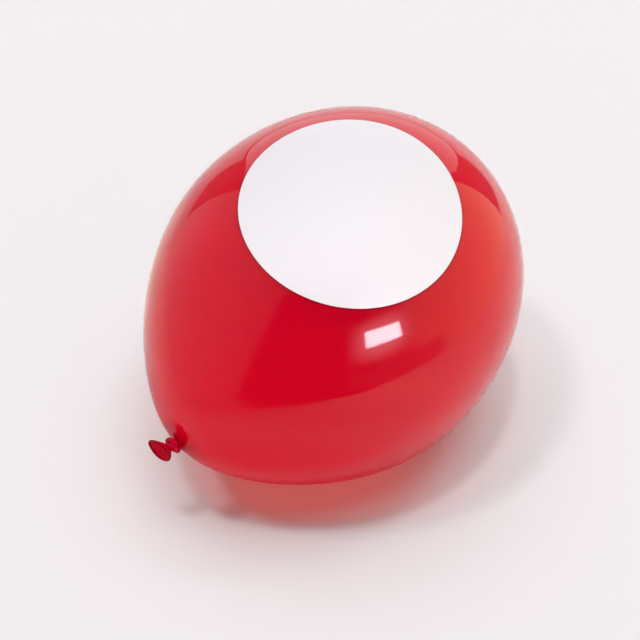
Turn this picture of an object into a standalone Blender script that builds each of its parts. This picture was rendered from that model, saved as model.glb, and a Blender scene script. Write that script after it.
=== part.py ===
"""A printed party balloon of red latex, blown up, tied off and lying on its side.

Metres, +Z up. The balloon is a body of revolution whose axis lies in the XZ plane:
the crown points towards +X and a little up, the tied neck towards -X and a little
down. The origin is on the small flat patch on which the skin rests.

Every piece is first shaped along its own axis, which is local +X, and is then
turned and moved to its place.
"""

import math

import bmesh
import bpy
from mathutils import Matrix, Vector

# The clearance that neighbouring pieces keep, and how close points are one point
GAP = 0.0003
MERGE = 0.000001

# Envelope: greatest diameter, and from the widest ring to the crown and to the neck
DIAMETER = 0.280
CROWN_LENGTH = 0.160
NECK_LENGTH = 0.171
# How much slimmer the neck half is than half an ellipse, by the square and the fourth power
NECK_SLIMMING_2 = 0.16
NECK_SLIMMING_4 = 0.08
SKIN_WALL = 0.00028
NECK_WALL = 0.0009
THICK_NECK_REACH = 0.008
ENVELOPE_SIDES = 48
ENVELOPE_RINGS = 22

# How the balloon lies: its crown is raised, and the skin is pressed flat where it rests
AXIS_TILT = math.radians(12.4)
REST_PATCH_DEPTH = 0.0012

# Print: a round field on top, rolled towards -Y and centred just crownwards of the widest ring
PRINT_RADIUS = 0.079
PRINT_CENTRE_X = 0.0089
PRINT_ROLL = math.radians(14.4)
PRINT_THICKNESS = 0.00012
PRINT_RINGS = 7
PRINT_SIDES = 48

# Neck, knot and tail, measured from the neck end of the envelope in the world's directions
KNOT_CENTRE = Vector((-0.0039, 0.0037, 0.0012))
MOUTH_CENTRE = Vector((-0.0146, 0.0064, 0.0017))
MOUTH_DIRECTION = Vector((-0.990, -0.120, -0.072)).normalized()
STEM_RADIUS = 0.0015
WRAP_RADIUS = 0.0049
WRAP_THICKNESS = 0.0020
TAIL_LENGTH = 0.0048
TAIL_ROOT_RADIUS = 0.0034
TAIL_MOUTH_RADIUS = 0.0093
TAIL_FLARE = 1.7
TAIL_WALL = 0.0007
TAIL_RINGS = 6
TAIL_SIDES = 24
LIP_THICKNESS = 0.0008

# The short spout of unstretched latex at the envelope's end, which grips the neck's stem.
# It stands under the knot, so the last rings of the skin lean over to it from the axis.
SPOUT_RADIUS = STEM_RADIUS + GAP + NECK_WALL
SPOUT_LENGTH = 0.0022
SPOUT_FILLET = 0.0050
FILLET_RINGS = 3
FIRST_LEAN = 0.4

LATEX_RED = (0.64, 0.008, 0.022, 1.0)
NECK_RED = (0.46, 0.003, 0.016, 1.0)
INK_WHITE = (0.90, 0.88, 0.89, 1.0)


def clear_scene():
    for old in list(bpy.data.objects):
        bpy.data.objects.remove(old, do_unlink=True)


def finish(name, color, roughness):
    """A material with its colour and its gloss."""
    material = bpy.data.materials.new(name)
    material.use_nodes = True
    shader = material.node_tree.nodes["Principled BSDF"]
    shader.inputs["Base Color"].default_value = color
    shader.inputs["Roughness"].default_value = roughness
    shader.inputs["Metallic"].default_value = 0.0
    material.diffuse_color = color
    return material


def add_object(name, mesh, material):
    piece = bpy.data.objects.new(name, mesh)
    bpy.context.scene.collection.objects.link(piece)
    mesh.materials.append(material)
    return piece


def add_shape(name, shape, material):
    """The bmesh as a smooth-shaded object."""
    bmesh.ops.recalc_face_normals(shape, faces=shape.faces)
    mesh = bpy.data.meshes.new(name)
    shape.to_mesh(mesh)
    shape.free()
    mesh.shade_smooth()
    mesh.set_sharp_from_angle(angle=math.radians(40))
    return add_object(name, mesh, material)


def turned(outline, sides):
    """The (along X, radius) outline turned once round the X axis."""
    shape = bmesh.new()
    points = [shape.verts.new((along, 0.0, radius)) for along, radius in outline]
    edges = [shape.edges.new(pair) for pair in zip(points, points[1:])]
    bmesh.ops.spin(
        shape,
        geom=points + edges,
        cent=(0.0, 0.0, 0.0),
        axis=(1.0, 0.0, 0.0),
        angle=2.0 * math.pi,
        steps=sides,
        use_merge=True,
    )
    bmesh.ops.remove_doubles(shape, verts=shape.verts, dist=MERGE)
    return shape


def envelope_radius(along):
    """The radius of the skin at a distance along the axis from the widest ring."""
    if along > 0.0:
        share = along / CROWN_LENGTH
        slimming = 1.0
    else:
        share = along / NECK_LENGTH
        slimming = 1.0 - NECK_SLIMMING_2 * share**2 - NECK_SLIMMING_4 * share**4
    return 0.5 * DIAMETER * math.sqrt(max(0.0, 1.0 - share * share)) * slimming


def envelope_outline():
    """(along X, radius) from the crown to the open end of the spout."""
    outline = []
    for step in range(ENVELOPE_RINGS + 1):
        cosine = math.cos(math.pi * step / ENVELOPE_RINGS)
        along = cosine * (CROWN_LENGTH if cosine > 0.0 else NECK_LENGTH)
        radius = envelope_radius(along)
        if cosine < 0.0 and radius < SPOUT_RADIUS + SPOUT_FILLET:
            break
        outline.append((along, radius))
    for step in range(FILLET_RINGS + 1):
        angle = 0.5 * math.pi * step / FILLET_RINGS
        radius = SPOUT_RADIUS + SPOUT_FILLET * (1.0 - math.sin(angle))
        along = -NECK_LENGTH - 0.5 * SPOUT_LENGTH * (1.0 - math.cos(angle))
        outline.append((along, radius))
    outline.append((-NECK_LENGTH - SPOUT_LENGTH, SPOUT_RADIUS))
    return outline


def lowest_skin_point():
    """(along the tilted axis, depth under the axis centre) of the lowest point of the skin."""
    steps = 2000
    lowest = (0.0, 0.0)
    for step in range(steps):
        along = -0.5 * NECK_LENGTH * step / steps
        depth = envelope_radius(along) * math.cos(AXIS_TILT) - along * math.sin(AXIS_TILT)
        if depth > lowest[1]:
            lowest = (along, depth)
    return lowest


def balloon_placement():
    """World matrix of the envelope: tilted, with the middle of its rest patch at the origin."""
    along, depth = lowest_skin_point()
    reach = along * math.cos(AXIS_TILT) + envelope_radius(along) * math.sin(AXIS_TILT)
    move = Matrix.Translation((-reach, 0.0, depth - REST_PATCH_DEPTH))
    return move @ Matrix.Rotation(-AXIS_TILT, 4, "Y")


def lean_of_neck(placement):
    """From the axis to the spout, across the axis, in the envelope's own frame."""
    to_knot = placement.to_3x3().inverted() @ KNOT_CENTRE
    return Vector((0.0, to_knot.y, to_knot.z))


def add_envelope(placement, material):
    """The inflated skin, open at the spout, with its wall thicker towards the neck."""
    shape = turned(envelope_outline(), ENVELOPE_SIDES)
    # Half a side round, so that the middle of a side faces the floor
    half_side = Matrix.Rotation(math.pi / ENVELOPE_SIDES, 3, "X")
    bmesh.ops.rotate(shape, verts=shape.verts, cent=(0.0, 0.0, 0.0), matrix=half_side)
    lean = lean_of_neck(placement)
    for vertex in shape.verts:
        if vertex.co.x < -NECK_LENGTH + MERGE:
            radius = math.hypot(vertex.co.y, vertex.co.z)
            nearness = 1.0 - (radius - SPOUT_RADIUS) / SPOUT_FILLET
            vertex.co += lean * (FIRST_LEAN + (1.0 - FIRST_LEAN) * min(1.0, max(0.0, nearness)))
    to_local = placement.inverted()
    down = to_local.to_3x3() @ Vector((0.0, 0.0, -1.0))
    cut = bmesh.ops.bisect_plane(
        shape,
        geom=shape.verts[:] + shape.edges[:] + shape.faces[:],
        dist=MERGE,
        plane_co=to_local @ Vector((0.0, 0.0, 0.0)),
        plane_no=down,
        clear_outer=True,
    )
    rim = [item for item in cut["geom_cut"] if isinstance(item, bmesh.types.BMEdge)]
    bmesh.ops.contextual_create(shape, geom=rim)
    envelope = add_shape("envelope", shape, material)
    thick = envelope.vertex_groups.new(name="thick_neck")
    for vertex in envelope.data.vertices:
        nearness = 1.0 - (vertex.co.x + NECK_LENGTH) / THICK_NECK_REACH
        thick.add([vertex.index], min(1.0, max(0.0, nearness)), "REPLACE")
    wall = envelope.modifiers.new("wall", "SOLIDIFY")
    wall.thickness = NECK_WALL
    wall.offset = -1.0
    wall.use_even_offset = True
    wall.vertex_group = thick.name
    wall.thickness_vertex_group = SKIN_WALL / NECK_WALL
    envelope.matrix_world = placement
    return envelope


def skin_point(along, roll, lift):
    """A point of the skin in the envelope's own frame, lifted off it by so much."""
    step = 0.0001
    radius = envelope_radius(along)
    slope = (envelope_radius(along + step) - envelope_radius(along - step)) / (2.0 * step)
    outward = Vector((-slope, 1.0)).normalized()
    along += lift * outward.x
    radius += lift * outward.y
    return Vector((along, -radius * math.sin(roll), radius * math.cos(roll)))


def add_print(placement, material):
    """The white round field, one thin sheet of ink that follows the skin."""
    shape = bmesh.new()
    rings = []
    for ring in range(1, PRINT_RINGS + 1):
        reach = PRINT_RADIUS * ring / PRINT_RINGS
        points = []
        for side in range(PRINT_SIDES):
            angle = 2.0 * math.pi * side / PRINT_SIDES
            along = PRINT_CENTRE_X + reach * math.cos(angle)
            across = reach * math.sin(angle)
            roll = PRINT_ROLL + math.asin(across / envelope_radius(along))
            points.append(shape.verts.new(skin_point(along, roll, GAP)))
        rings.append(points)
    middle = shape.verts.new(skin_point(PRINT_CENTRE_X, PRINT_ROLL, GAP))
    for side in range(PRINT_SIDES):
        following = (side + 1) % PRINT_SIDES
        shape.faces.new((middle, rings[0][side], rings[0][following]))
        for inner, outer in zip(rings, rings[1:]):
            shape.faces.new((inner[side], outer[side], outer[following], inner[following]))
    if sum((face.normal.z for face in shape.faces), 0.0) < 0.0:
        bmesh.ops.reverse_faces(shape, faces=shape.faces)
    piece = add_shape("print_disc", shape, material)
    sheet = piece.modifiers.new("ink", "SOLIDIFY")
    sheet.thickness = PRINT_THICKNESS
    sheet.offset = 1.0
    piece.matrix_world = placement
    return piece


def add_tube(name, route, radius, material):
    """A round tube with closed ends, on a smooth curve through the route's (point, direction) rows."""
    curve = bpy.data.curves.new(name, "CURVE")
    curve.dimensions = "3D"
    curve.bevel_depth = radius
    curve.bevel_resolution = 3
    curve.resolution_u = 5
    curve.use_fill_caps = True
    spline = curve.splines.new("BEZIER")
    spline.bezier_points.add(len(route) - 1)
    places = [place for place, _ in route]
    for knot, (place, direction), before, after in zip(
        spline.bezier_points, route, places[:1] + places, places[1:] + places[-1:]
    ):
        knot.co = place
        knot.handle_left = place - direction * (place - before).length / 3.0
        knot.handle_right = place + direction * (after - place).length / 3.0
    return add_object(name, curve, material)


def facing(direction, centre):
    """World matrix that turns local +X to the direction, with local +Z as near up as it goes."""
    forward = direction.normalized()
    side = Vector((0.0, 0.0, 1.0)).cross(forward).normalized()
    up = forward.cross(side)
    turn = Matrix((forward, side, up)).transposed().to_4x4()
    return Matrix.Translation(centre) @ turn


def add_wrap(centre, axis, material):
    """The knot's wrap: one fat turn of the neck round its own stem."""
    bpy.ops.mesh.primitive_torus_add(
        major_segments=24,
        minor_segments=12,
        major_radius=WRAP_RADIUS,
        minor_radius=WRAP_THICKNESS,
    )
    wrap = bpy.context.object
    wrap.name = "knot_wrap"
    wrap.data.name = "knot_wrap"
    wrap.data.transform(Matrix.Rotation(0.5 * math.pi, 4, "Y"))
    wrap.data.shade_smooth()
    wrap.data.materials.append(material)
    wrap.matrix_world = facing(axis, centre)
    return wrap


def tail_radius(share):
    """Outer radius of the flared tail at a share of its length from the knot."""
    return TAIL_ROOT_RADIUS + (TAIL_MOUTH_RADIUS - TAIL_ROOT_RADIUS) * share**TAIL_FLARE


def add_tail(neck_end, material):
    """The flared end of the neck beyond the knot, an open dish with a closed root."""
    outer = []
    inner = []
    for step in range(TAIL_RINGS + 1):
        share = step / TAIL_RINGS
        along = TAIL_LENGTH * (share - 1.0)
        outer.append((along, tail_radius(share)))
        inner.append((along + TAIL_WALL * (1.0 - share), tail_radius(share) - TAIL_WALL))
    outline = [(-TAIL_LENGTH, 0.0)] + outer + inner[::-1] + [(-TAIL_LENGTH + TAIL_WALL, 0.0)]
    tail = add_shape("tail", turned(outline, TAIL_SIDES), material)
    tail.matrix_world = facing(MOUTH_DIRECTION, neck_end + MOUTH_CENTRE)
    return tail


def add_lip(neck_end, material):
    """The rolled bead round the mouth."""
    step = 0.05
    rise = tail_radius(1.0) - tail_radius(1.0 - step)
    along_and_out = Vector((TAIL_LENGTH * step, rise)).normalized() * (LIP_THICKNESS + GAP)
    bpy.ops.mesh.primitive_torus_add(
        major_segments=32,
        minor_segments=8,
        major_radius=TAIL_MOUTH_RADIUS - 0.5 * TAIL_WALL + along_and_out.y,
        minor_radius=LIP_THICKNESS,
    )
    lip = bpy.context.object
    lip.name = "mouth_lip"
    lip.data.name = "mouth_lip"
    lip.data.transform(Matrix.Rotation(0.5 * math.pi, 4, "Y"))
    lip.data.transform(Matrix.Translation((along_and_out.x, 0.0, 0.0)))
    lip.data.shade_smooth()
    lip.data.materials.append(material)
    lip.matrix_world = facing(MOUTH_DIRECTION, neck_end + MOUTH_CENTRE)
    return lip


def main():
    clear_scene()
    skin = finish("red_latex", LATEX_RED, 0.12)
    thick_skin = finish("red_latex_unstretched", NECK_RED, 0.25)
    ink = finish("white_ink", INK_WHITE, 0.22)

    placement = balloon_placement()
    neck_end = placement @ Vector((-NECK_LENGTH, 0.0, 0.0))
    neck_direction = placement.to_3x3() @ Vector((-1.0, 0.0, 0.0))
    tail_root = neck_end + MOUTH_CENTRE - (TAIL_LENGTH + GAP) * MOUTH_DIRECTION
    spout_root = neck_end + placement.to_3x3() @ lean_of_neck(placement)
    knot = neck_end + KNOT_CENTRE

    add_envelope(placement, skin)
    add_print(placement, ink)
    stem = (
        (spout_root - 0.001 * neck_direction, neck_direction),
        (knot, neck_direction),
        (tail_root, MOUTH_DIRECTION),
    )
    add_tube("neck_stem", stem, STEM_RADIUS, thick_skin)
    add_wrap(knot, neck_direction, thick_skin)
    add_tail(neck_end, thick_skin)
    add_lip(neck_end, thick_skin)


main()
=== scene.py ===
"""A red latex balloon with a blank white print, blown up, tied off and lying on a pale studio floor.

Metres, +Z up. The balloon's axis lies in the XZ plane with its crown towards +X and a
little up. Pieces of the body are modelled on the axis of local +X, with the widest ring
at the origin, and are then turned and moved to where the balloon lies.
"""

import math

import bmesh
import bpy
from mathutils import Matrix, Vector


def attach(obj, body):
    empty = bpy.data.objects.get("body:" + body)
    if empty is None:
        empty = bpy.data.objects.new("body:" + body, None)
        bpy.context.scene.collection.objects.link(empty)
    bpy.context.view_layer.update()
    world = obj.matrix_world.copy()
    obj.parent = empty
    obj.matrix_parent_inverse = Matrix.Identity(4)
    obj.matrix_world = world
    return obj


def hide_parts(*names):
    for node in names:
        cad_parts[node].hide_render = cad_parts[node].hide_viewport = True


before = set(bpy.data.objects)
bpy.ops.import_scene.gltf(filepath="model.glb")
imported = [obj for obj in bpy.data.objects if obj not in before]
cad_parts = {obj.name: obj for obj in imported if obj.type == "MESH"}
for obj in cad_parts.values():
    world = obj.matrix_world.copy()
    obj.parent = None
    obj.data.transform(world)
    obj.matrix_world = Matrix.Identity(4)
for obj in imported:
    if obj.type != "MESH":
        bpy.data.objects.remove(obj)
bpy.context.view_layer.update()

MM = 0.001

# The inflated body: widest diameter, and the widest ring's distance from each end
DIAMETER = 0.280
CROWN_LENGTH = 0.160
NECK_LENGTH = 0.171
NECK_SLIMMING_2 = 0.16
NECK_SLIMMING_4 = 0.08

# How the body lies: the widest ring's centre over the middle of the resting patch
AXIS_TILT = math.radians(12.4)
BODY_CENTRE = Vector((0.00422647, 0.0, 0.13924092))
FLOOR_GAP = 0.00005

SKIN_RINGS = 120
SKIN_SIDES = 160

# The gathered neck: its radius, the round corner that leads into it, and its pleats' valleys
NECK_RADIUS = 3.2 * MM
NECK_CORNER = 5.0 * MM
NECK_CORNER_LENGTH = 2.2 * MM
NECK_CORNER_STEPS = 6
NECK_PLEATS = (8, 47, 92, 128, 171, 214, 262, 303, 338)
PLEAT_WIDTHS = (9.0, 4.0)

# (distance beyond the neck's end in mm, share): how far a valley goes in, and how far the neck leans
PLEAT_DEPTHS = ((0.35, 0.985), (0.9, 0.95), (1.6, 0.91), (2.2, 0.88), (3.2, 0.86), (4.2, 0.86))
LEAN_SHARES = ((1.4, 0.06), (1.9, 0.14), (2.2, 0.26), (3.2, 0.30), (4.2, 0.16), (5.2, 0.08))

PRINT_RADIUS = 0.079
PRINT_CENTRE_X = 0.0089
PRINT_ROLL = math.radians(14.4)
PRINT_SIDES = 192
PRINT_RINGS = 24
PRINT_RIM = 0.15 * MM
PRINT_SECOND_RING = 0.6 * MM
PRINT_FIRST_TWO_RINGS = 0.75 * MM
PRINT_SHADOW_START = 0.0003
PRINT_SHADOW_END = 0.0015
INK_LIFT = 0.00012
INK_THICKNESS = 0.00010

# Knot and mouth, from the neck's end of the body in the world's directions
KNOT_OFFSET = Vector((-3.9, 3.7, 1.2)) * MM
MOUTH_OFFSET = Vector((-14.6, 6.4, 1.7)) * MM
MOUTH_DIRECTION = Vector((-0.990, -0.120, -0.072)).normalized()
MOUTH_RADIUS = 9.9 * MM
LIP_RADIUS = 0.75 * MM

# The wrap of the knot, as places in mm and angles in degrees round its own axis
WRAP_DIRECTION = Vector((-0.963, -0.079, -0.258)).normalized()
WRAP_SHIFT = Vector((-0.5, -0.6, -0.1)) * MM
WRAP_START = 50.0
WRAP_STEP = 27.0
WRAP_STEPS = 15
WRAP_LOWEST = -1.8
WRAP_CLIMB = 3.1
WRAP_REACH = 5.2
STRAND_RADIUS = 2.2 * MM
STRAND_CREASES = (0.0, 62.0, 118.0, 190.0, 247.0, 300.0)
CORE_RADIUS = 4.0 * MM

# The tail's rings as (rise, radius) in mm, and its folds as (angle, depth)
TAIL_SIDES = 96
TAIL_RINGS = (
    (3.2, 0.4),
    (2.7, 1.1),
    (2.2, 2.0),
    (1.9, 2.9),
    (1.7, 3.7),
    (1.8, 4.2),
    (2.3, 4.5),
    (3.0, 5.1),
    (3.8, 6.1),
    (4.7, 7.3),
    (5.6, 8.4),
    (6.4, 9.2),
    (7.2, 9.7),
    (7.9, 9.9),
)
PINCHED_RINGS = 5
TAIL_FOLDS = (
    (12, 1.0),
    (58, 0.7),
    (95, 1.2),
    (141, 0.8),
    (188, 1.1),
    (231, 0.7),
    (268, 1.0),
    (322, 0.9),
)
FOLD_WIDTH = 11.0

# (angle in degrees, lift in mm) of the places where the lip is bent up or down
LIP_WAVES = ((20, 0.25), (75, -0.2), (130, 0.2), (200, -0.25), (255, 0.15), (310, -0.15))

# The studio is laid out in azimuths where the camera looks along +90 degrees
STUDIO_TURN = -46.8
STUDIO_WHITE = "#f3eef0"
TENT_TOP = 1.5

# The photograph's camera: the direction from its aim back to it, and how far back it stands
CAMERA_BACK = Vector((-0.5155, -0.4840, 0.7071)).normalized()
CAMERA_AIM = BODY_CENTRE - Vector((0.00757, -0.00806, 0.02737))
CAMERA_DISTANCE = 0.98
CAMERA_LENS = 68.59
CAMERA_SENSOR = 36.0

LYING = Matrix.Translation(BODY_CENTRE) @ Matrix.Rotation(-AXIS_TILT, 4, "Y")
NECK_END = LYING @ Vector((-NECK_LENGTH, 0.0, 0.0))
KNOT = NECK_END + KNOT_OFFSET
MOUTH = NECK_END + MOUTH_OFFSET
PRINT_FACING = LYING.to_3x3() @ Vector((0.0, -math.sin(PRINT_ROLL), math.cos(PRINT_ROLL)))
PRINT_CENTRE = LYING @ Vector((PRINT_CENTRE_X, 0.0, 0.0))


def linear(hex_colour):
    """A shader's linear colour from an sRGB hex value."""
    channels = [int(hex_colour[start : start + 2], 16) / 255.0 for start in (1, 3, 5)]
    made = [c / 12.92 if c <= 0.04045 else ((c + 0.055) / 1.055) ** 2.4 for c in channels]
    return (*made, 1.0)


def deselect():
    bpy.ops.object.select_all(action="DESELECT")


def select_only(piece):
    deselect()
    piece.select_set(True)
    bpy.context.view_layer.objects.active = piece


def name_piece(piece, name):
    piece.name = name
    piece.data.name = name


def edit(piece):
    select_only(piece)
    bpy.ops.object.mode_set(mode="EDIT")
    bpy.ops.mesh.select_mode(type="VERT")


def done():
    bpy.ops.object.mode_set(mode="OBJECT")


def pick(wanted):
    """Selects the points of the piece in edit mode for which wanted(place) is true."""
    mesh = bpy.context.object.data
    shape = bmesh.from_edit_mesh(mesh)
    shape.select_mode = {"VERT"}
    for vertex in shape.verts:
        vertex.select = bool(wanted(vertex.co))
    shape.select_flush_mode()
    bmesh.update_edit_mesh(mesh)


def extrude(step):
    bpy.ops.mesh.extrude_region_move(TRANSFORM_OT_translate={"value": step})


def face_outwards():
    """Turns every face of the piece in edit mode outwards."""
    bpy.ops.mesh.select_all(action="SELECT")
    bpy.ops.mesh.normals_make_consistent(inside=False)


def apply_place(piece):
    select_only(piece)
    bpy.ops.object.transform_apply(location=True, rotation=True, scale=True)


def apply_modifiers(piece):
    bpy.context.view_layer.objects.active = piece
    for modifier in list(piece.modifiers):
        bpy.ops.object.modifier_apply(modifier=modifier.name)


def smooth(piece):
    select_only(piece)
    bpy.ops.object.shade_smooth()


def finish_piece(piece, material, slot, *nodes):
    """Gives the piece its finish, hangs it on the root and hides the model's nodes that it stands in
    for.
    """
    piece.data.materials.clear()
    piece.data.materials.append(material)
    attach(piece, "root")
    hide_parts(*nodes)


def wrapped(angle):
    """An angle in degrees as one from -180 to 180."""
    return (angle + 180.0) % 360.0 - 180.0


def turn_of(place):
    """The angle in degrees of a place round local +Z."""
    return math.degrees(math.atan2(place.y, place.x))


def along_to(direction):
    """The turn that takes local +Z to a direction, with +X kept as level as it goes."""
    forward = direction.normalized()
    side = Vector((0.0, 0.0, 1.0)).cross(forward).normalized()
    up = forward.cross(side)
    return Matrix((side, up, forward)).transposed()


def skin_radius(along):
    """The radius of the skin at a distance along the axis from the widest ring."""
    if along > 0.0:
        share = along / CROWN_LENGTH
        slimming = 1.0
    else:
        share = along / NECK_LENGTH
        slimming = 1.0 - NECK_SLIMMING_2 * share**2 - NECK_SLIMMING_4 * share**4
    return 0.5 * DIAMETER * math.sqrt(max(0.0, 1.0 - share * share)) * slimming


def lay_down(piece):
    """Turns and moves a piece from the body's own axis to where the balloon lies."""
    piece.rotation_euler = (0.0, -AXIS_TILT, 0.0)
    piece.location = BODY_CENTRE
    apply_place(piece)


def skin_outline():
    """(along, radius) from the crown to the end of the neck inside the knot."""
    outline = []
    for step in range(SKIN_RINGS + 1):
        cosine = math.cos(math.pi * step / SKIN_RINGS)
        along = cosine * (CROWN_LENGTH if cosine > 0.0 else NECK_LENGTH)
        radius = skin_radius(along)
        if cosine < 0.0 and radius < NECK_RADIUS + NECK_CORNER:
            break
        outline.append((along, radius))
    for step in range(1, NECK_CORNER_STEPS + 1):
        angle = 0.5 * math.pi * step / NECK_CORNER_STEPS
        along = -NECK_LENGTH - NECK_CORNER_LENGTH * (1.0 - math.cos(angle))
        outline.append((along, NECK_RADIUS + NECK_CORNER * (1.0 - math.sin(angle))))
    for reach in (3.2, 4.2, 5.2, 6.2):
        outline.append((-NECK_LENGTH - reach * MM, NECK_RADIUS))
    outline.append((-NECK_LENGTH - 6.6 * MM, 0.5 * NECK_RADIUS))
    outline.append((-NECK_LENGTH - 6.8 * MM, 0.0))
    return outline


def start_point(name, place):
    """A piece that is one single point, in edit mode, ready to be extruded."""
    deselect()
    bpy.ops.mesh.primitive_plane_add(size=0.01, location=(0.0, 0.0, 0.0))
    piece = bpy.context.object
    name_piece(piece, name)
    bpy.ops.object.mode_set(mode="EDIT")
    bpy.ops.mesh.merge(type="CENTER")
    bpy.ops.transform.translate(value=place)
    return piece


def gather_neck():
    """Presses narrow valleys between the neck's pleats, shallower away from the knot."""
    for reach, depth in PLEAT_DEPTHS:
        nearest = -NECK_LENGTH - (reach - 0.4) * MM
        furthest = -NECK_LENGTH - (reach + 0.4) * MM
        middle = (-NECK_LENGTH - reach * MM, 0.0, 0.0)
        halfway = 1.0 - 0.5 * (1.0 - depth)
        for width in PLEAT_WIDTHS:

            def in_valley(place, nearest=nearest, furthest=furthest, width=width):
                if place.x > nearest or place.x < furthest:
                    return False
                roll = math.degrees(math.atan2(place.y, place.z))
                return any(abs(wrapped(roll - valley)) < width for valley in NECK_PLEATS)

            pick(in_valley)
            bpy.ops.transform.resize(value=(1.0, halfway, halfway), center_override=middle)


def lean_neck():
    """Leans the neck over to the knot, which doesn't sit on the axis."""
    lean = LYING.to_3x3().inverted() @ KNOT_OFFSET
    lean = Vector((0.0, lean.y, lean.z))
    for reach, share in LEAN_SHARES:
        pick(lambda place, reach=reach: place.x < -NECK_LENGTH - (reach - 0.2) * MM)
        bpy.ops.transform.translate(value=lean * share)


def model_skin():
    """The body and its neck: half an outline, extruded point by point and spun round the axis."""
    outline = skin_outline()
    skin = start_point("latex_skin", (outline[0][0], 0.0, outline[0][1]))
    for here, there in zip(outline, outline[1:]):
        extrude((there[0] - here[0], 0.0, there[1] - here[1]))
    bpy.ops.mesh.select_all(action="SELECT")
    bpy.ops.mesh.spin(
        steps=SKIN_SIDES,
        angle=2.0 * math.pi,
        center=(0.0, 0.0, 0.0),
        axis=(1.0, 0.0, 0.0),
    )
    bpy.ops.mesh.select_all(action="SELECT")
    bpy.ops.mesh.remove_doubles(threshold=0.00001)
    gather_neck()
    lean_neck()
    face_outwards()
    done()
    lay_down(skin)

    # Pressed flat where it rests
    edit(skin)
    bpy.ops.mesh.select_all(action="SELECT")
    bpy.ops.mesh.bisect(
        plane_co=(0.0, 0.0, FLOOR_GAP),
        plane_no=(0.0, 0.0, -1.0),
        use_fill=True,
        clear_outer=True,
    )
    done()
    smooth(skin)
    return skin


def skin_point(along, roll, lift):
    """A point of the skin on the body's own axis, lifted off it by so much."""
    step = 0.0001
    radius = skin_radius(along)
    slope = (skin_radius(along + step) - skin_radius(along - step)) / (2.0 * step)
    outward = Vector((-slope, 1.0)).normalized()
    along += lift * outward.x
    radius += lift * outward.y
    return Vector((along, -radius * math.sin(roll), radius * math.cos(roll)))


def model_print():
    """The white field: a round screen print, inset to fine rings and pressed onto the skin."""
    deselect()
    bpy.ops.mesh.primitive_circle_add(
        vertices=PRINT_SIDES, radius=PRINT_RADIUS, fill_type="NGON", location=(0.0, 0.0, 0.0)
    )
    field = bpy.context.object
    name_piece(field, "printed_field")
    bpy.ops.object.mode_set(mode="EDIT")
    bpy.ops.mesh.select_all(action="SELECT")
    bpy.ops.mesh.inset(thickness=PRINT_RIM)
    bpy.ops.mesh.inset(thickness=PRINT_SECOND_RING)
    for _ in range(PRINT_RINGS - 1):
        bpy.ops.mesh.inset(thickness=(PRINT_RADIUS - PRINT_FIRST_TWO_RINGS) / PRINT_RINGS)
    bpy.ops.mesh.poke()
    done()
    for vertex in field.data.vertices:
        along = PRINT_CENTRE_X + vertex.co.x
        roll = PRINT_ROLL + math.asin(-vertex.co.y / skin_radius(along))
        vertex.co = skin_point(along, roll, INK_LIFT)
    sheet = field.modifiers.new("ink film", "SOLIDIFY")
    sheet.thickness = INK_THICKNESS
    sheet.offset = 1.0
    apply_modifiers(field)
    edit(field)
    face_outwards()
    done()
    lay_down(field)
    smooth(field)
    return field


def model_strand(name, route, thickness):
    """A bunched strand of neck as one mesh, along a route of (place in mm, share of the thickness)."""
    deselect()
    bpy.ops.mesh.primitive_circle_add(vertices=30, radius=thickness)
    profile = bpy.context.object
    bpy.ops.object.mode_set(mode="EDIT")
    for crease in STRAND_CREASES:
        pick(lambda place, crease=crease: abs(wrapped(turn_of(place) - crease)) < 7.0)
        bpy.ops.transform.resize(value=(0.84, 0.84, 1.0), center_override=(0.0, 0.0, 0.0))
    done()
    bpy.ops.object.convert(target="CURVE")
    profile = bpy.context.object
    profile.data.splines[0].use_cyclic_u = True

    deselect()
    bpy.ops.curve.primitive_nurbs_path_add(location=(0.0, 0.0, 0.0))
    strand = bpy.context.object
    name_piece(strand, name)
    spline = strand.data.splines[0]
    spline.points.add(len(route) - len(spline.points))
    for point, (place, share) in zip(spline.points, route):
        point.co = (*(Vector(place) * MM), 1.0)
        point.radius = share
    spline.order_u = 4
    spline.use_endpoint_u = True
    spline.resolution_u = 6
    strand.data.bevel_mode = "OBJECT"
    strand.data.bevel_object = profile
    strand.data.use_fill_caps = True
    bpy.ops.object.convert(target="MESH")
    strand = bpy.context.object
    deselect()
    profile.select_set(True)
    bpy.ops.object.delete()
    return strand


def knot_route(onward):
    """The strand's way out of the neck, round the wrap, and under itself on to the mouth."""
    route = [((0.0, 0.0, -6.0), 0.75), ((0.3, 0.2, -4.2), 0.85), ((2.2, 1.8, -3.0), 0.95)]
    for step in range(WRAP_STEPS):
        turn = math.radians(WRAP_START + WRAP_STEP * step)
        rise = WRAP_LOWEST + WRAP_CLIMB * step / (WRAP_STEPS - 1.0)
        reach = WRAP_REACH + 0.25 * math.sin(2.0 * turn + 0.6)
        place = (reach * math.cos(turn), reach * math.sin(turn), rise)
        route.append((place, 1.0 + 0.05 * math.sin(3.0 * turn)))
    route.append(((1.4, 2.6, 2.4), 1.0))
    for reach, share in ((2.0, 1.2), (2.9, 1.6), (3.7, 1.65)):
        route.append((tuple(onward * reach * MM), share))
    return route


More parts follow.
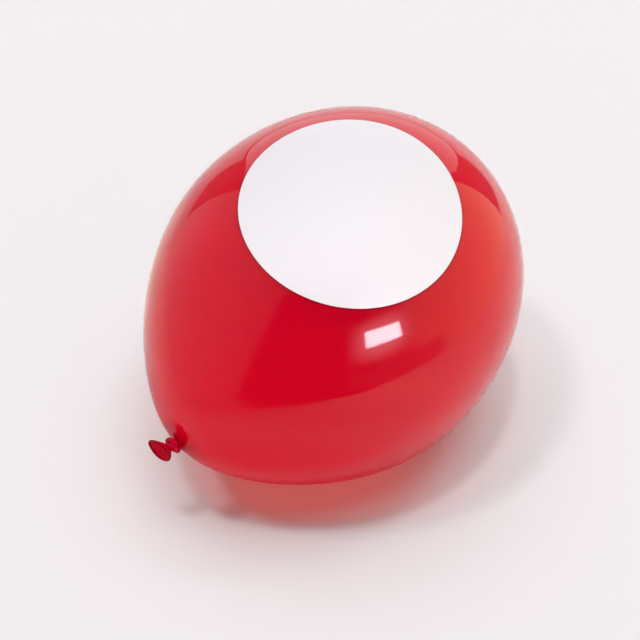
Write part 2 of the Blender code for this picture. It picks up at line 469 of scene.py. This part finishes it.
def model_knot():
    """The overhand knot: one bunched strand that leaves the neck, laps it and dives under itself.

    Voxels of 0.17 mm melt the strand and a core into one skin, as pulled latex does.
    """
    turned = along_to(WRAP_DIRECTION)
    onward = turned.transposed() @ (MOUTH - KNOT).normalized() / MM
    band = model_strand("knot_band", knot_route(onward), STRAND_RADIUS)
    deselect()
    bpy.ops.mesh.primitive_uv_sphere_add(segments=24, ring_count=16, radius=CORE_RADIUS)
    core = bpy.context.object
    core.select_set(True)
    band.select_set(True)
    bpy.context.view_layer.objects.active = band
    bpy.ops.object.join()
    knot = bpy.context.object
    voxels = knot.modifiers.new("one skin", "REMESH")
    voxels.mode = "VOXEL"
    voxels.voxel_size = 0.17 * MM
    softer = knot.modifiers.new("worn in", "SMOOTH")
    softer.factor = 0.5
    softer.iterations = 4
    apply_modifiers(knot)
    knot.matrix_world = Matrix.Translation(KNOT + WRAP_SHIFT) @ turned.to_4x4()
    apply_place(knot)
    smooth(knot)
    return knot


def fold_tail(tail, middles):
    """Folds run out from the pinched middle and fade towards the mouth."""
    for vertex in tail.data.vertices:
        ring = vertex.index // TAIL_SIDES
        radius = TAIL_RINGS[ring][1]
        outward = vertex.co - middles[ring]
        turn = turn_of(outward)
        gather = max(0.0, 1.0 - radius / 9.5)
        fold = 0.0
        for valley, depth in TAIL_FOLDS:
            away = wrapped(turn - valley - 14.0 * gather)
            fold += depth * math.exp(-((away / FOLD_WIDTH) ** 2))
        if ring < PINCHED_RINGS:
            vertex.co.z += (0.45 - 0.9 * fold) * MM * min(1.0, radius / 1.5)
        else:
            vertex.co -= outward.normalized() * fold * gather * 1.9 * MM


def model_tail():
    """The flared end of the neck: pinched shut by the knot, then opening like a short trumpet."""
    turned = along_to(MOUTH_DIRECTION)
    root = KNOT + 2.5 * MM * (MOUTH - KNOT).normalized()
    height = (MOUTH - root).dot(MOUTH_DIRECTION) / MM
    lean = turned.transposed() @ (root - MOUTH) / MM
    deselect()
    bpy.ops.mesh.primitive_circle_add(vertices=TAIL_SIDES, radius=TAIL_RINGS[0][1] * MM)
    tail = bpy.context.object
    name_piece(tail, "flared_tail")
    bpy.ops.object.mode_set(mode="EDIT")
    bpy.ops.mesh.select_all(action="SELECT")
    middles = []
    for rise, _ in TAIL_RINGS:
        share = 1.0 - rise / height
        middles.append(Vector((lean.x * share, lean.y * share, rise)) * MM)
    bpy.ops.transform.translate(value=middles[0])
    radii = [radius for _, radius in TAIL_RINGS]
    for before, radius, here, there in zip(radii, radii[1:], middles, middles[1:]):
        extrude(there - here)
        grow = radius / before
        bpy.ops.transform.resize(value=(grow, grow, 1.0), center_override=there)
    face_outwards()
    done()
    fold_tail(tail, middles)
    wall = tail.modifiers.new("wall", "SOLIDIFY")
    wall.thickness = 0.5 * MM
    wall.offset = 0.0
    finer = tail.modifiers.new("finer", "SUBSURF")
    finer.levels = 1
    finer.render_levels = 1
    apply_modifiers(tail)
    edit(tail)
    face_outwards()
    done()
    tail.matrix_world = Matrix.Translation(MOUTH - height * MM * MOUTH_DIRECTION) @ turned.to_4x4()
    apply_place(tail)
    smooth(tail)
    return tail


def model_lip():
    """The rolled bead round the mouth, a little uneven as rolled latex is."""
    deselect()
    bpy.ops.mesh.primitive_torus_add(
        major_segments=96,
        minor_segments=14,
        major_radius=MOUTH_RADIUS - 0.1 * MM,
        minor_radius=LIP_RADIUS,
    )
    lip = bpy.context.object
    name_piece(lip, "rolled_lip")
    bpy.ops.object.mode_set(mode="EDIT")
    for turn, lift in LIP_WAVES:
        for width in (34.0, 22.0, 12.0):
            pick(lambda place, turn=turn, width=width: abs(wrapped(turn_of(place) - turn)) < width)
            bpy.ops.transform.translate(value=(0.0, 0.0, lift * MM / 3.0))
    done()
    softer = lip.modifiers.new("even", "SMOOTH")
    softer.iterations = 2
    apply_modifiers(lip)
    lip.matrix_world = Matrix.Translation(MOUTH) @ along_to(MOUTH_DIRECTION).to_4x4()
    apply_place(lip)
    smooth(lip)
    return lip


def new_material(name):
    material = bpy.data.materials.new(name)
    material.use_nodes = True
    material.node_tree.nodes.clear()
    return material


def add_node(material, kind, links=None, **settings):
    """A node with its settings and its links: input name or number to a socket or a plain value."""
    node = material.node_tree.nodes.new(kind)
    for name, value in settings.items():
        setattr(node, name, value)
    for name, value in (links or {}).items():
        if isinstance(value, bpy.types.NodeSocket):
            material.node_tree.links.new(value, node.inputs[name])
        else:
            node.inputs[name].default_value = value
    return node


def painted_print_edge_shadow(material, place, height):
    """How far the skin is darkened as a painted shadow of the print's edge: within 1.5 mm, upper side
    only.
    """
    from_print = add_node(
        material,
        "ShaderNodeVectorMath",
        {0: place, 1: PRINT_CENTRE},
        operation="SUBTRACT",
    )
    across_print = add_node(
        material,
        "ShaderNodeVectorMath",
        {0: from_print.outputs[0], 1: PRINT_FACING},
        operation="CROSS_PRODUCT",
    )
    reach = add_node(material, "ShaderNodeVectorMath", {0: across_print.outputs[0]}, operation="LENGTH")
    beside = add_node(
        material,
        "ShaderNodeMapRange",
        {
            "Value": reach.outputs["Value"],
            "From Min": PRINT_RADIUS + PRINT_SHADOW_START,
            "From Max": PRINT_RADIUS + PRINT_SHADOW_END,
            "To Min": 0.7,
            "To Max": 0.0,
        },
    )
    above = add_node(
        material,
        "ShaderNodeMath",
        {0: height, 1: BODY_CENTRE.z},
        operation="GREATER_THAN",
    )
    return add_node(
        material,
        "ShaderNodeMath",
        {0: beside.outputs[0], 1: above.outputs[0]},
        operation="MULTIPLY",
    )


def tinted_shadow(material, place, facing):
    """Lamps shine through the skin and tint its shadow red, less so where they graze it."""
    slant = add_node(material, "ShaderNodeMath", {0: 1.0, 1: facing}, operation="SUBTRACT")
    path_length = add_node(
        material,
        "ShaderNodeMath",
        {0: slant.outputs[0], 1: -3.0},
        operation="POWER",
    )
    lengthwise = add_node(
        material,
        "ShaderNodeVectorMath",
        {0: place, 1: (0.913, -0.407, 0.0)},
        operation="DOT_PRODUCT",
    )
    clear = add_node(
        material,
        "ShaderNodeMapRange",
        {
            "Value": lengthwise.outputs["Value"],
            "From Min": 0.01,
            "From Max": 0.13,
            "To Min": 0.985,
            "To Max": 0.80,
        },
    )
    red_share = add_node(
        material,
        "ShaderNodeMath",
        {0: clear.outputs[0], 1: path_length.outputs[0]},
        operation="POWER",
    )
    green_share = add_node(
        material,
        "ShaderNodeMath",
        {0: 0.08, 1: path_length.outputs[0]},
        operation="POWER",
    )
    tint = add_node(
        material,
        "ShaderNodeCombineColor",
        {0: red_share.outputs[0], 1: green_share.outputs[0], 2: green_share.outputs[0]},
    )
    return add_node(material, "ShaderNodeBsdfTransparent", {"Color": tint.outputs[0]})


def stretched_latex():
    """Natural rubber latex, dipped and blown up tight.

    The eye sees one even clear red that glows, because light comes through the skin, a mere film,
    from all round, under a clean wet-looking gloss. It is a little darker at the edges, where the
    eye looks through more of it, and deepens where the skin thickens to the neck. Its colour also
    holds painted light: a brighter glow towards the bottom, a glow towards the crown that is partly
    painted, a painted reflection of the dark knot beside the neck, and a painted shadow beside the
    print.
    """
    material = new_material("Dipped natural latex, stretched")
    place = add_node(material, "ShaderNodeTexCoord").outputs["Object"]
    parts = add_node(material, "ShaderNodeSeparateXYZ", {0: place})
    height = parts.outputs["Z"]
    # Lighter towards the crown: partly thinner latex there, partly a painted glow on that side
    crownward = add_node(
        material,
        "ShaderNodeMapRange",
        {"Value": parts.outputs["X"], "From Min": -0.13, "From Max": 0.12},
        interpolation_type="SMOOTHSTEP",
    )
    # Lighter towards the bottom: a painted glow
    lower = add_node(
        material,
        "ShaderNodeMapRange",
        {"Value": height, "From Min": 0.03, "From Max": 0.21, "To Min": 0.75, "To Max": 0.0},
    )
    facing = add_node(material, "ShaderNodeLayerWeight", {"Blend": 0.5}).outputs["Facing"]
    edge = add_node(
        material,
        "ShaderNodeMapRange",
        {"Value": facing, "From Min": 0.5, "From Max": 0.9, "To Min": 0.0, "To Max": 0.5},
    )

    # Dipping leaves the wall a little uneven, in clouds some 45 mm across
    clouds = add_node(material, "ShaderNodeTexNoise", {"Vector": place, "Scale": 22.0, "Detail": 2.0})
    cloudy = add_node(
        material,
        "ShaderNodeMapRange",
        {
            "Value": clouds.outputs["Fac"],
            "From Min": 0.3,
            "From Max": 0.7,
            "To Min": 0.0,
            "To Max": 0.10,
        },
    )

    # The last two centimetres before the knot are thick, and darker there also as a painted reflection
    # of the dark knot
    to_neck = add_node(
        material,
        "ShaderNodeVectorMath",
        {0: place, 1: NECK_END},
        operation="DISTANCE",
    )
    thick_neck_and_knot_reflection = add_node(
        material,
        "ShaderNodeMapRange",
        {
            "Value": to_neck.outputs["Value"],
            "From Min": 0.0,
            "From Max": 0.028,
            "To Min": 1.0,
            "To Max": 0.0,
        },
    )

    # Each tint is laid over the ones before it, and last a narrow painted shadow along the print's edge
    colour = linear("#cb0428")
    for share, tint in (
        (crownward, "#da0426"),
        (lower, "#e80428"),
        (edge, "#a60424"),
        (cloudy, "#a80222"),
        (thick_neck_and_knot_reflection, "#7c0020"),
        (painted_print_edge_shadow(material, place, height), "#7a0014"),
    ):
        mix = add_node(
            material,
            "ShaderNodeMix",
            {0: share.outputs[0], 6: colour, 7: linear(tint)},
            data_type="RGBA",
        )
        colour = mix.outputs[2]

    # A faint waviness of the wall every 7 mm, a few thousandths of a millimetre deep
    waves = add_node(material, "ShaderNodeTexNoise", {"Vector": place, "Scale": 140.0, "Detail": 1.0})
    relief = add_node(
        material,
        "ShaderNodeBump",
        {"Strength": 1.0, "Distance": 0.000004, "Height": waves.outputs["Fac"]},
    )
    haze = add_node(
        material,
        "ShaderNodeMapRange",
        {
            "Value": clouds.outputs["Fac"],
            "From Min": 0.3,
            "From Max": 0.7,
            "To Min": 0.03,
            "To Max": 0.055,
        },
    )
    shader = add_node(
        material,
        "ShaderNodeBsdfPrincipled",
        {
            "Base Color": colour,
            "Roughness": haze.outputs[0],
            "IOR": 1.34,
            "Normal": relief.outputs[0],
            "Subsurface Weight": 1.0,
            "Subsurface Radius": (1.0, 0.02, 0.02),
            "Subsurface Scale": 0.35,
        },
    )

    # What the floor sees of the skin: the light that leaves it underneath
    underneath = add_node(
        material,
        "ShaderNodeMapRange",
        {"Value": height, "From Min": 0.06, "From Max": 0.15, "To Min": 0.17, "To Max": 0.0},
        interpolation_type="SMOOTHSTEP",
    )
    downward = add_node(
        material,
        "ShaderNodeEmission",
        {"Color": (1.0, 0.02, 0.01, 1.0), "Strength": underneath.outputs[0]},
    )
    material.cycles.emission_sampling = "NONE"
    path = add_node(material, "ShaderNodeLightPath")
    thrown = add_node(
        material,
        "ShaderNodeMixShader",
        {0: path.outputs["Is Diffuse Ray"], 1: shader.outputs["BSDF"], 2: downward.outputs[0]},
    )
    through = tinted_shadow(material, place, facing)
    skin = add_node(
        material,
        "ShaderNodeMixShader",
        {0: path.outputs["Is Shadow Ray"], 1: thrown.outputs[0], 2: through.outputs["BSDF"]},
    )
    add_node(material, "ShaderNodeOutputMaterial", {"Surface": skin.outputs[0]})
    return material


def thick_latex():
    """The same latex where it was hardly stretched: thick, so a deep crimson, with painted shade at its
    edges.

    It is half matt, creased and pulled hard at the knot, and its creases are painted lighter and
    darker as their light and shade. Real creases are finer than 1 mm, and these are drawn coarser,
    at 2 mm or so, so that they show.
    """
    material = new_material("Dipped natural latex, unstretched")
    place = add_node(material, "ShaderNodeTexCoord").outputs["Object"]
    creases = add_node(
        material,
        "ShaderNodeTexNoise",
        {"Vector": place, "Scale": 420.0, "Detail": 3.0, "Roughness": 0.6, "Distortion": 0.8},
    )
    # Painted light and shade of the creases: the colour goes lighter and darker with the crease noise
    crease_light_and_shade = add_node(
        material,
        "ShaderNodeMapRange",
        {"Value": creases.outputs["Fac"], "From Min": 0.36, "From Max": 0.64},
        interpolation_type="SMOOTHSTEP",
    )
    from_mouth = add_node(
        material,
        "ShaderNodeVectorMath",
        {0: place, 1: MOUTH},
        operation="SUBTRACT",
    )
    outward = add_node(
        material,
        "ShaderNodeVectorMath",
        {0: from_mouth.outputs[0], 1: MOUTH_DIRECTION},
        operation="DOT_PRODUCT",
    )

    # Painted shade: the bunched knot is darker towards its edges, the open mouth mostly at its rolled
    # rim
    facing = add_node(material, "ShaderNodeLayerWeight", {"Blend": 0.5})
    edge = add_node(
        material,
        "ShaderNodeMapRange",
        {
            "Value": facing.outputs["Facing"],
            "From Min": 0.30,
            "From Max": 0.75,
            "To Min": 0.0,
            "To Max": 0.9,
        },
    )
    bunched = add_node(
        material,
        "ShaderNodeMapRange",
        {
            "Value": outward.outputs["Value"],
            "From Min": -0.008,
            "From Max": -0.005,
            "To Min": 1.0,
            "To Max": 0.15,
        },
    )
    shade = add_node(
        material,
        "ShaderNodeMath",
        {0: edge.outputs[0], 1: bunched.outputs[0]},
        operation="MULTIPLY",
    )
    rim = add_node(
        material,
        "ShaderNodeMapRange",
        {
            "Value": outward.outputs["Value"],
            "From Min": -0.0012,
            "From Max": -0.0002,
            "To Min": 0.0,
            "To Max": 0.8,
        },
    )
    colour = linear("#b80028")
    for share, tint in ((crease_light_and_shade, "#ea0234"), (shade, "#600008"), (rim, "#7c0010")):
        mix = add_node(
            material,
            "ShaderNodeMix",
            {0: share.outputs[0], 6: colour, 7: linear(tint)},
            data_type="RGBA",
        )
        colour = mix.outputs[2]
    relief = add_node(
        material,
        "ShaderNodeBump",
        {"Strength": 0.7, "Distance": 0.0002, "Height": creases.outputs["Fac"]},
    )
    shader = add_node(
        material,
        "ShaderNodeBsdfPrincipled",
        {
            "Base Color": colour,
            "Roughness": 0.22,
            "IOR": 1.17,
            "Normal": relief.outputs[0],
            "Subsurface Weight": 0.6,
            "Subsurface Radius": (1.0, 0.03, 0.03),
            "Subsurface Scale": 0.003,
        },
    )
    add_node(material, "ShaderNodeOutputMaterial", {"Surface": shader.outputs["BSDF"]})
    return material


def screen_ink():
    """White rubber ink, screen printed before the balloon was blown up.

    It reads as an opaque, smooth, half glossy white, a little bluish, with painted shade that makes
    it darker towards one side. Blown up, the film shows its screen as a grain. The real one is a
    few tenths of a millimetre wide, and it is drawn coarser, at 1 mm, so that it shows.
    """
    material = new_material("White screen ink on latex")
    place = add_node(material, "ShaderNodeTexCoord").outputs["Object"]
    # Painted shade: the white is darker towards one side of the print
    toward_shaded_side = add_node(
        material,
        "ShaderNodeVectorMath",
        {0: place, 1: (0.6, 0.6, 0.5)},
        operation="DOT_PRODUCT",
    )
    painted_shade_across_print = add_node(
        material,
        "ShaderNodeMapRange",
        {"Value": toward_shaded_side.outputs["Value"], "From Min": 0.05, "From Max": 0.15},
    )
    grain = add_node(material, "ShaderNodeTexNoise", {"Vector": place, "Scale": 900.0, "Detail": 2.0})
    speckle = add_node(
        material,
        "ShaderNodeMapRange",
        {
            "Value": grain.outputs["Fac"],
            "From Min": 0.3,
            "From Max": 0.7,
            "To Min": 0.0,
            "To Max": 0.12,
        },
    )
    colour = linear("#f8f2f8")
    for share, tint in ((painted_shade_across_print, "#e9e4ea"), (speckle, "#e6d6dc")):
        mix = add_node(
            material,
            "ShaderNodeMix",
            {0: share.outputs[0], 6: colour, 7: linear(tint)},
            data_type="RGBA",
        )
        colour = mix.outputs[2]
    gloss = add_node(
        material,
        "ShaderNodeMapRange",
        {
            "Value": grain.outputs["Fac"],
            "From Min": 0.3,
            "From Max": 0.7,
            "To Min": 0.32,
            "To Max": 0.44,
        },
    )
    relief = add_node(
        material,
        "ShaderNodeBump",
        {"Strength": 0.5, "Distance": 0.00003, "Height": grain.outputs["Fac"]},
    )
    shader = add_node(
        material,
        "ShaderNodeBsdfPrincipled",
        {
            "Base Color": colour,
            "Roughness": gloss.outputs[0],
            "IOR": 1.45,
            "Normal": relief.outputs[0],
        },
    )

    # Light comes through the thin film into the balloon and on to the floor
    through = add_node(material, "ShaderNodeBsdfTransparent", {"Color": (0.92, 0.4, 0.4, 1.0)})
    path = add_node(material, "ShaderNodeLightPath")
    film = add_node(
        material,
        "ShaderNodeMixShader",
        {0: path.outputs["Is Shadow Ray"], 1: shader.outputs["BSDF"], 2: through.outputs["BSDF"]},
    )
    add_node(material, "ShaderNodeOutputMaterial", {"Surface": film.outputs[0]})
    return material


def studio_floor():
    """A matt board, nearly white."""
    material = new_material("Matt white studio board")
    shader = add_node(
        material,
        "ShaderNodeBsdfPrincipled",
        {"Base Color": linear(STUDIO_WHITE), "Roughness": 0.7, "Specular IOR Level": 0.0},
    )
    add_node(material, "ShaderNodeOutputMaterial", {"Surface": shader.outputs["BSDF"]})
    return material


def direction(azimuth, elevation):
    a = math.radians(azimuth)
    e = math.radians(elevation)
    return Vector((math.cos(e) * math.cos(a), math.cos(e) * math.sin(a), math.sin(e)))


def ease(value, low, high):
    """0 below low, 1 above high, and a soft step between them."""
    share = min(1.0, max(0.0, (value - low) / (high - low)))
    return share * share * (3.0 - 2.0 * share)


def only_in_gloss(board):
    """Hides a piece of the studio from everything but reflections."""
    board.visible_camera = False
    board.visible_diffuse = False
    board.visible_shadow = False
    board.visible_transmission = False
    board.visible_volume_scatter = False


def mirrored_only(board, tint=(1.0, 1.0, 1.0)):
    """Makes a board shine by its glow attribute where its cover attribute says so, in gloss only."""
    material = new_material(board.name)
    strength = add_node(material, "ShaderNodeAttribute", attribute_name="glow")
    shown = add_node(material, "ShaderNodeAttribute", attribute_name="cover")
    light = add_node(
        material,
        "ShaderNodeEmission",
        {"Color": (*tint, 1.0), "Strength": strength.outputs["Fac"]},
    )
    clear = add_node(material, "ShaderNodeBsdfTransparent")
    mix = add_node(
        material,
        "ShaderNodeMixShader",
        {0: shown.outputs["Fac"], 1: clear.outputs[0], 2: light.outputs[0]},
    )
    add_node(material, "ShaderNodeOutputMaterial", {"Surface": mix.outputs[0]})
    board.data.materials.append(material)
    only_in_gloss(board)


def add_mirrored_floor(name, height, tint, glow_at, cover_at):
    """One layer of what the gloss mirrors of the floor: glow and cover are functions of the place."""
    deselect()
    bpy.ops.mesh.primitive_grid_add(
        x_subdivisions=120, y_subdivisions=120, size=2.0, location=(0.0, 0.0, height)
    )
    board = bpy.context.object
    board.name = name
    glow = board.data.attributes.new("glow", "FLOAT", "POINT")
    cover = board.data.attributes.new("cover", "FLOAT", "POINT")
    for vertex in board.data.vertices:
        glow.data[vertex.index].value = glow_at(vertex.co.x, vertex.co.y)
        cover.data[vertex.index].value = cover_at(vertex.co.x, vertex.co.y)
    mirrored_only(board, tint)


def add_mirrored_floors():
    """The gloss mirrors the floor dim and red under the neck's half, and brighter further out."""

    def shade_red(x, y):
        return 0.62 * (1.0 - ease(math.hypot(x + 0.10, y), 0.08, 0.25))

    def shade_cover(x, y):
        under_neck = 0.60 * (1.0 - ease(math.hypot(x + 0.12, y), 0.09, 0.27))
        return under_neck + 0.35 * ease(-x, 0.35, 0.8)

    def light_cover(x, y):
        right_side = 0.26 * ease(0.5 * x - 0.866 * y, 0.12, 0.5)
        behind = 0.2 * ease(y, 0.17, 0.3) * ease(-x, -0.2, 0.0)
        bright = right_side + behind
        return bright + 0.3 * math.exp(-(((x + 0.1) / 0.15) ** 2) - ((y + 0.6) / 0.15) ** 2)

    add_mirrored_floor("mirrored_shade", 0.0015, (1.0, 0.03, 0.05), shade_red, shade_cover)
    add_mirrored_floor("mirrored_light", 0.0008, (1.0, 0.98, 0.72), lambda x, y: 2.0, light_cover)


def add_board(name, columns, tint=(1.0, 0.985, 0.97), soft=(0.0, 0.0, 0.0, 0.0), distance=0.9):
    """A studio board that only the gloss mirrors, on a drum round the balloon.

    columns are (azimuth, lowest, highest, radiance) from one end to the other, and soft is how much
    of the board fades at its two ends and at its lower and upper edge, as shares of its size.
    """
    deselect()
    bpy.ops.mesh.primitive_grid_add(x_subdivisions=96, y_subdivisions=24, size=2.0)
    board = bpy.context.object
    board.name = name
    glow = board.data.attributes.new("glow", "FLOAT", "POINT")
    cover = board.data.attributes.new("cover", "FLOAT", "POINT")
    first, last = columns[0][0], columns[-1][0]
    for vertex in board.data.vertices:
        across = 0.5 + 0.5 * vertex.co.x
        rise = 0.5 + 0.5 * vertex.co.y
        azimuth = first + (last - first) * across
        for left, right in zip(columns, columns[1:]):
            if azimuth <= right[0]:
                break
        share = min(1.0, max(0.0, (azimuth - left[0]) / (right[0] - left[0])))
        low, high, radiance = (left[k] + (right[k] - left[k]) * share for k in (1, 2, 3))
        turn = math.radians(azimuth + STUDIO_TURN)
        vertex.co = (
            BODY_CENTRE.x + distance * math.cos(turn),
            BODY_CENTRE.y + distance * math.sin(turn),
            low + (high - low) * rise,
        )
        glow.data[vertex.index].value = radiance
        shown = 1.0
        for place, reach in zip((across, 1.0 - across, rise, 1.0 - rise), soft):
            if reach > 0.0:
                shown *= ease(place, 0.0, reach)
        cover.data[vertex.index].value = shown
    mirrored_only(board, tint)


def add_ceiling():
    """The tent's white roof, which only the gloss mirrors."""
    deselect()
    bpy.ops.mesh.primitive_circle_add(
        vertices=64,
        radius=1.1,
        fill_type="NGON",
        location=(BODY_CENTRE.x, BODY_CENTRE.y, TENT_TOP),
    )
    roof = bpy.context.object
    roof.name = "tent_roof"
    material = new_material("tent_roof")
    light = add_node(
        material,
        "ShaderNodeEmission",
        {"Color": (1.0, 0.985, 0.99, 1.0), "Strength": 1.05},
    )
    add_node(material, "ShaderNodeOutputMaterial", {"Surface": light.outputs[0]})
    roof.data.materials.append(material)
    only_in_gloss(roof)


def add_sun(name, azimuth, elevation, strength, angle):
    """A far lamp of a certain apparent width, which the gloss doesn't mirror."""
    to_light = direction(azimuth + STUDIO_TURN, elevation)
    deselect()
    bpy.ops.object.light_add(type="SUN", rotation=to_light.to_track_quat("Z", "Y").to_euler())
    lamp = bpy.context.object
    lamp.name = name
    lamp.data.energy = strength
    lamp.data.angle = math.radians(angle)
    lamp.data.color = (0.996, 1.004, 1.018)
    lamp.visible_glossy = False


def add_back_panel():
    """The bright panel behind the balloon with its curved lower edge, its seam and the wall below."""
    panel_edge = (
        (42.0, 0.53),
        (45.0, 0.42),
        (50.0, 0.33),
        (55.0, 0.26),
        (61.0, 0.205),
        (68.0, 0.20),
        (104.0, 0.20),
        (110.0, 0.215),
        (115.0, 0.27),
        (120.0, 0.37),
        (126.0, 0.52),
        (131.0, 0.61),
        (139.0, 0.71),
    )
    panel = [(azimuth, low, TENT_TOP, 1.38) for azimuth, low in panel_edge]
    add_board("back_panel", panel, distance=0.89)
    add_board(
        "back_panel_edge",
        (
            (44.5, 0.415, 0.435, 0.3),
            (50.0, 0.312, 0.332, 0.2),
            (55.0, 0.242, 0.262, 0.2),
            (61.0, 0.190, 0.205, 0.35),
            (104.0, 0.185, 0.200, 0.6),
            (110.0, 0.195, 0.215, 0.3),
            (115.0, 0.250, 0.272, 0.2),
            (120.0, 0.350, 0.372, 0.15),
            (126.0, 0.505, 0.52, 0.15),
        ),
        distance=0.88,
    )
    wall_top = (
        (46.5, 0.005, 1.05),
        (50.0, 0.05, 1.05),
        (53.0, 0.10, 1.05),
        (55.0, 0.17, 1.05),
        (56.5, 0.26, 1.05),
        (110.0, 0.26, 1.0),
        (117.0, 0.36, 0.95),
        (120.5, 0.37, 0.9),
        (122.0, 0.28, 0.9),
        (124.0, 0.22, 0.85),
        (127.0, 0.17, 0.8),
        (139.0, 0.13, 0.8),
    )
    wall = [(azimuth, 0.0, high, radiance) for azimuth, high, radiance in wall_top]
    add_board("back_wall", wall, distance=0.90)


def add_tent():
    """What the gloss mirrors: a white tent with two gaps, a softbox, and a black flag by the camera."""
    add_board("tent_gaps", ((-180, 0.0, 1.6, 0.26), (180, 0.0, 1.6, 0.26)), distance=1.0)
    left_glow = (
        (139, 0.82),
        (154, 0.98),
        (167, 0.88),
        (190, 0.84),
        (211, 0.74),
        (225, 0.55),
        (240, 0.42),
    )
    add_board("left_board", [(azimuth, 0.0, TENT_TOP, radiance) for azimuth, radiance in left_glow])
    add_board(
        "front_left_fall_off",
        ((-125, 0.0, TENT_TOP, 0.35), (-110, 0.0, TENT_TOP, 0.03), (-60, 0.0, TENT_TOP, 0.03)),
        soft=(0.12, 0.1, 0.0, 0.0),
        distance=0.88,
    )
    add_board(
        "right_board",
        ((-50, 0.0, TENT_TOP, 0.95), (-10, 0.0, TENT_TOP, 1.38), (38, 0.0, TENT_TOP, 1.45)),
        tint=(1.0, 0.98, 0.66),
        soft=(0.15, 0.0, 0.0, 0.0),
    )
    add_board(
        "flag",
        ((-128, 0.05, 1.1, 0.02), (-100, 0.04, 1.1, 0.02), (-70, 0.03, 1.1, 0.03)),
        soft=(0.12, 0.2, 0.02, 0.1),
        distance=0.87,
    )
    add_board(
        "flag_foot",
        ((-80, 0.03, 0.22, 0.15), (-50, 0.04, 0.20, 0.3), (-24, 0.0, 0.22, 0.45)),
        soft=(0.1, 0.15, 0.08, 0.3),
        distance=0.87,
    )
    add_board(
        "softbox_halo",
        ((-80, 0.20, 0.68, 5.0), (-38, 0.20, 0.68, 5.0)),
        tint=(0.98, 0.97, 1.05),
        soft=(0.45, 0.45, 0.45, 0.45),
        distance=0.86,
    )
    add_board(
        "softbox",
        ((-69.2, 0.372, 0.533, 36.0), (-48.0, 0.354, 0.500, 36.0)),
        tint=(0.98, 0.97, 1.07),
        soft=(0.1, 0.1, 0.1, 0.1),
        distance=0.85,
    )
    add_back_panel()
    add_ceiling()
    add_mirrored_floors()


def build_studio():
    """The floor, the lamps that light the balloon and throw its shadows, and what the gloss mirrors."""
    deselect()
    bpy.ops.mesh.primitive_plane_add(size=16.0, location=(0.0, 0.0, 0.0))
    floor = bpy.context.object
    floor.name = "studio_floor"
    floor.data.materials.append(studio_floor())
    add_sun("overhead_softbox", 125.0, 81.0, 0.850, 45.0)
    add_sun("spot_by_camera", 243.0, 77.0, 0.470, 5.0)
    add_sun("camera_side_lamp", 308.8, 74.8, 0.410, 22.0)
    add_sun("right_lamp", 338.0, 76.0, 0.310, 30.0)
    add_sun("left_lamp", 203.0, 66.0, 0.464, 8.0)
    add_sun("back_lamp", 20.0, 66.0, 0.158, 10.0)
    add_tent()


def build_world():
    """Soft warm light from low down all round, strongest from the crown's side. Lamps give the rest.

    The camera itself sees an even backdrop in the floor's colour.
    """
    world = bpy.data.worlds.new("studio")
    bpy.context.scene.world = world
    world.use_nodes = True
    background = world.node_tree.nodes["Background"]
    background.inputs["Color"].default_value = (1.02, 0.98, 0.90, 1.0)
    ray = add_node(world, "ShaderNodeTexCoord").outputs["Generated"]
    parts = add_node(world, "ShaderNodeSeparateXYZ", {0: ray})
    low = add_node(
        world,
        "ShaderNodeMapRange",
        {
            "Value": parts.outputs["Z"],
            "From Min": 0.34,
            "From Max": 0.54,
            "To Min": 0.88,
            "To Max": 0.04,
        },
        interpolation_type="SMOOTHSTEP",
    )
    side = add_node(
        world,
        "ShaderNodeVectorMath",
        {0: ray, 1: (0.29, -0.09, 0.0)},
        operation="DOT_PRODUCT",
    )
    lean = add_node(world, "ShaderNodeMath", {0: side.outputs["Value"], 1: 1.0}, operation="ADD")
    level = add_node(
        world,
        "ShaderNodeMath",
        {0: low.outputs[0], 1: lean.outputs[0]},
        operation="MULTIPLY",
    )
    world.node_tree.links.new(level.outputs[0], background.inputs["Strength"])
    backdrop = add_node(world, "ShaderNodeBackground", {"Color": linear(STUDIO_WHITE), "Strength": 1.0})
    path = add_node(world, "ShaderNodeLightPath")
    seen = add_node(
        world,
        "ShaderNodeMixShader",
        {0: path.outputs["Is Camera Ray"], 1: background.outputs[0], 2: backdrop.outputs[0]},
    )
    world.node_tree.links.new(seen.outputs[0], world.node_tree.nodes["World Output"].inputs["Surface"])


def place_camera():
    deselect()
    bpy.ops.object.camera_add(
        location=CAMERA_AIM + CAMERA_DISTANCE * CAMERA_BACK,
        rotation=CAMERA_BACK.to_track_quat("Z", "Y").to_euler(),
    )
    camera = bpy.context.object
    camera.name = "photograph"
    camera.data.lens = CAMERA_LENS
    camera.data.sensor_width = CAMERA_SENSOR
    bpy.context.scene.camera = camera


def main():
    bpy.context.scene.view_settings.view_transform = "Standard"
    place_camera()
    build_world()
    build_studio()
    skin_finish = stretched_latex()
    thick_finish = thick_latex()
    finish_piece(model_skin(), skin_finish, "red_latex", "envelope")
    finish_piece(model_print(), screen_ink(), "white_ink", "print_disc")
    finish_piece(model_knot(), thick_finish, "red_latex_unstretched", "knot_wrap", "neck_stem")
    finish_piece(model_tail(), thick_finish, "red_latex_unstretched", "tail")
    finish_piece(model_lip(), thick_finish, "red_latex_unstretched", "mouth_lip")


main()
